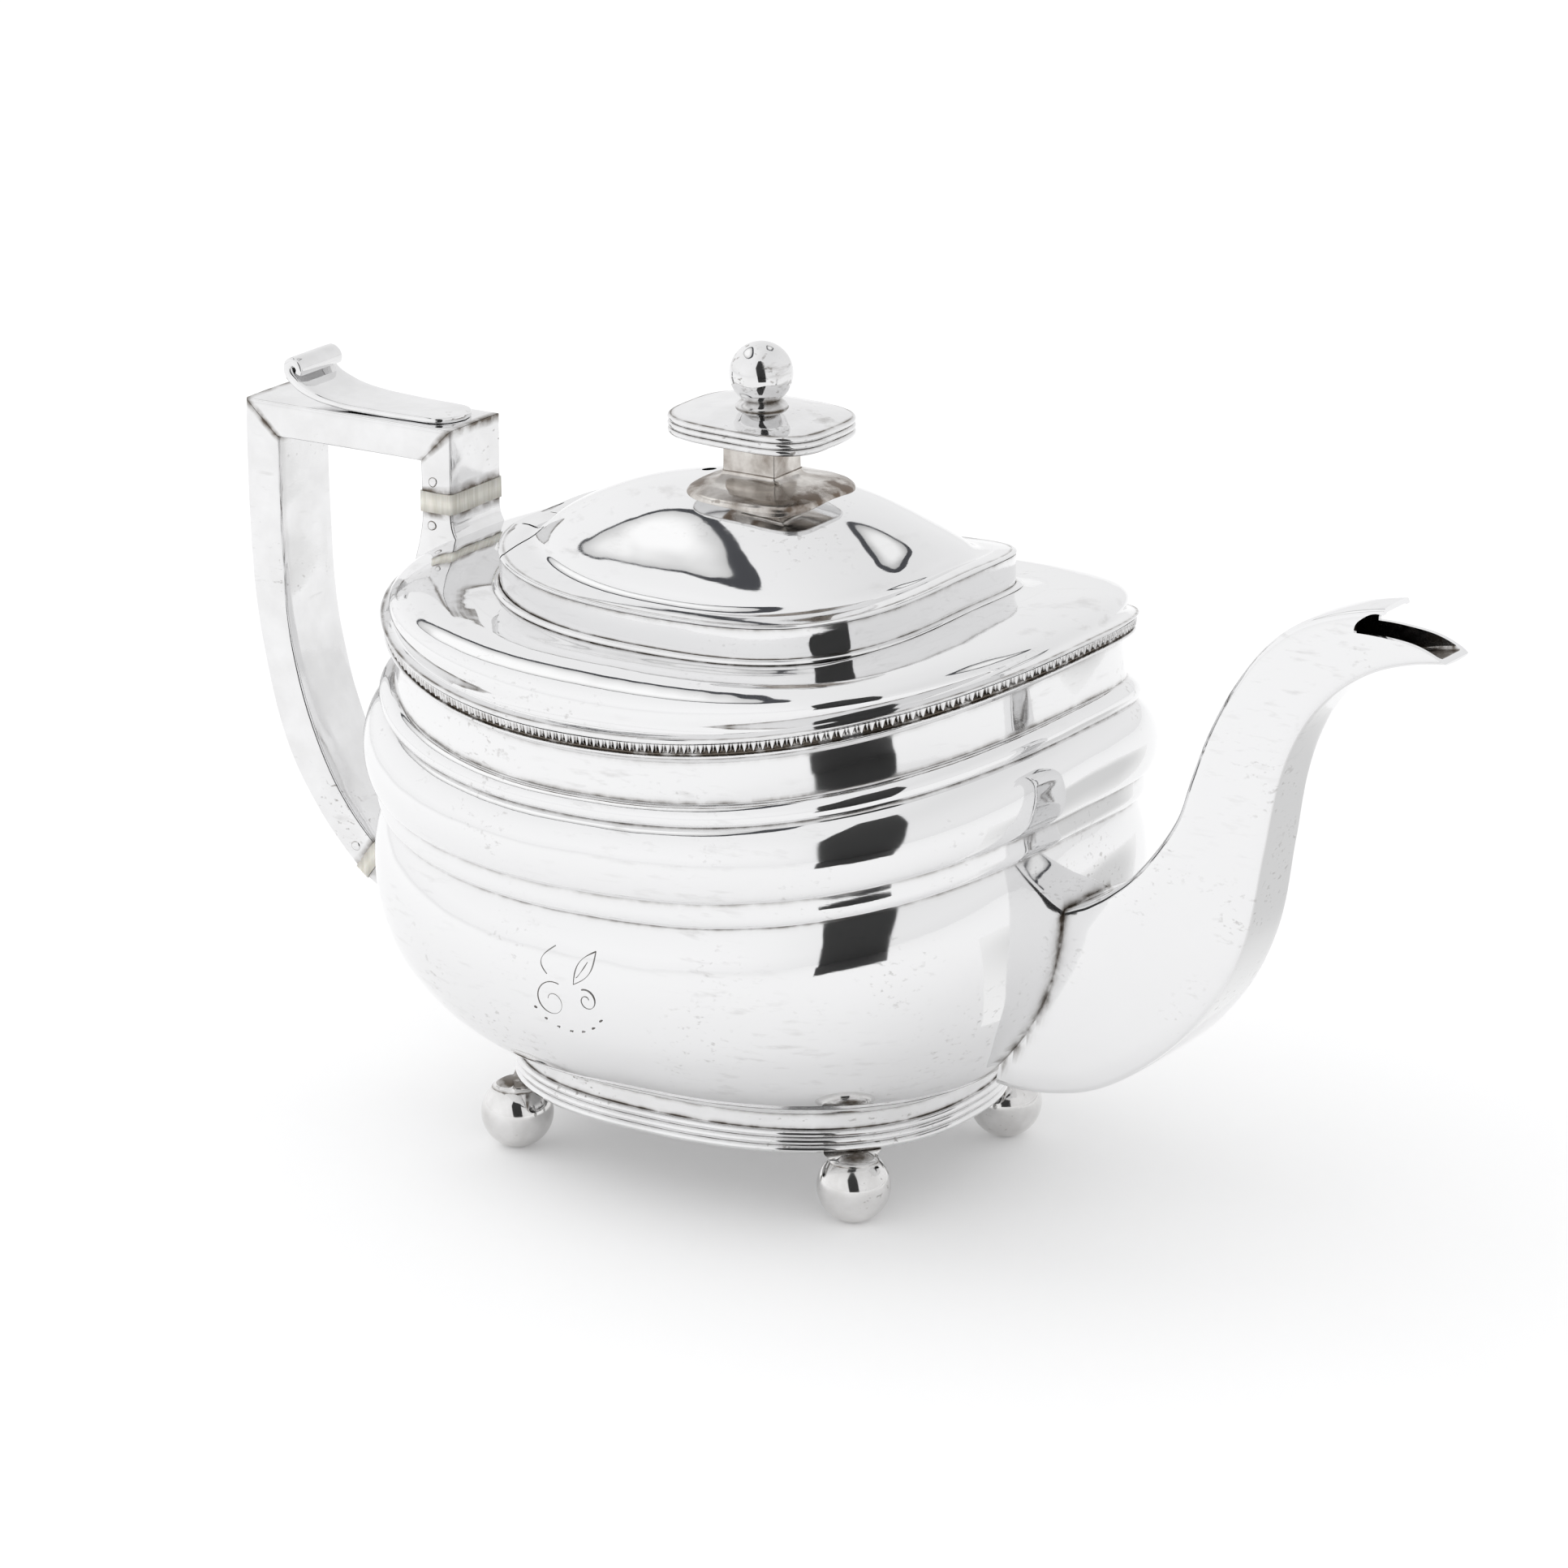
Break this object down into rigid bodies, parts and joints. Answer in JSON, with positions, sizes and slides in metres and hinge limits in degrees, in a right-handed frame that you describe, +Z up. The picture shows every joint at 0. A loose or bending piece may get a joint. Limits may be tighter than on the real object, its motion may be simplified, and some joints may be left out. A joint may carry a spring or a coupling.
{
  "type": "teapot",
  "caption": "Oval silver teapot with a domed hinged lid, square-section swan-neck spout, flat angular handle with bone insulators, and ball feet.",
  "frame": {"origin": "on the surface that the feet stand on, under the centre of the teapot's bounding box", "axes": "+X towards the spout, -X towards the handle, +Z up, Y across"},
  "size_m": [0.2622, 0.1224, 0.1585],
  "materials": {
    "polished_silver": "polished, with fine scratches",
    "tarnished_silver": "polished, with brown-grey tarnish",
    "bone": "worn ivory-coloured bone, striated"
  },
  "bodies": {
    "pot": {"body_shell": "polished_silver", "base_plate": "tarnished_silver", "foot_collar": "polished_silver", "foot_brackets": "tarnished_silver", "ball_feet": "tarnished_silver", "gadroon_border": "polished_silver", "shoulder_cover": "polished_silver", "gallery": "polished_silver", "gallery_bead": "polished_silver", "hinge_plate": "polished_silver", "hinge_centre_knuckle": "polished_silver", "hinge_pin": "tarnished_silver", "spout": "polished_silver", "handle_upper_socket": "polished_silver", "handle_lower_socket": "polished_silver", "upper_insulator": "bone", "lower_insulator": "bone", "handle_front_leg": "polished_silver", "handle_top_rail": "polished_silver", "handle_grip": "polished_silver", "thumb_piece": "polished_silver", "handle_pins": "tarnished_silver"},
    "lid": {"lid_cover": "polished_silver", "lid_bezel": "polished_silver", "lid_knuckles": "polished_silver", "finial_foot": "tarnished_silver", "finial_stem": "tarnished_silver", "finial_plate": "polished_silver", "finial_ball": "polished_silver", "finial_bolt": "tarnished_silver", "finial_washer": "tarnished_silver", "finial_nut": "tarnished_silver"}
  },
  "joints": [
    {"name": "lid_hinge", "type": "hinge", "parent": "pot", "child": "lid", "pos_m": [-0.06005, 0, 0.11875], "axis": [0, -1, 0], "range_deg": [0, 105]}
  ]
}
